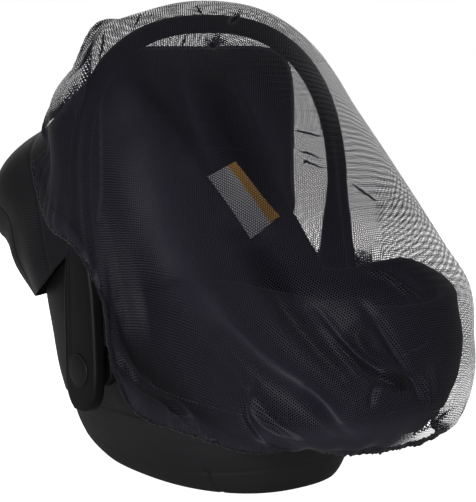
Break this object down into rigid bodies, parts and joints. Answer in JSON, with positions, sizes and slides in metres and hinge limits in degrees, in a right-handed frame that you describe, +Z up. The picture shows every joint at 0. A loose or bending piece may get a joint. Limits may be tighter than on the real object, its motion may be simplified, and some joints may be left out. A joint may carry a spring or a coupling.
{
  "type": "infant carrier seat with fitted mosquito net",
  "caption": "Infant carrier seat with carrying handle, sun hood and rocker base, covered by a sheer mosquito net that is fanned over the handle and gathered under the foot end.",
  "frame": {"origin": "on the flat sole of the base, on the middle plane, a little in front of the handle pivots", "axes": "+Z up, -Y towards the foot end of the seat, +Y towards the head end, +X across"},
  "size_m": [0.4454, 0.724, 0.585],
  "materials": {
    "base_plastic": "fine grain, dark grey",
    "shell_plastic": "satin black",
    "handle_plastic": "satin black",
    "seat_cloth": "padded woven cloth, black",
    "canopy_cloth": "thin woven cloth, black",
    "net_mesh": "sheer hexagonal mesh, black, see-through",
    "patch_cloth": "sewn patch, off-white with an amber band"
  },
  "bodies": {
    "root": {"base": "base_plastic", "shell": "shell_plastic", "seat_cover": "seat_cloth", "handle": "handle_plastic", "pivot_boss_far": "handle_plastic", "pivot_boss_near": "handle_plastic", "canopy": "canopy_cloth", "net": "net_mesh", "patch": "patch_cloth"}
  },
  "joints": []
}
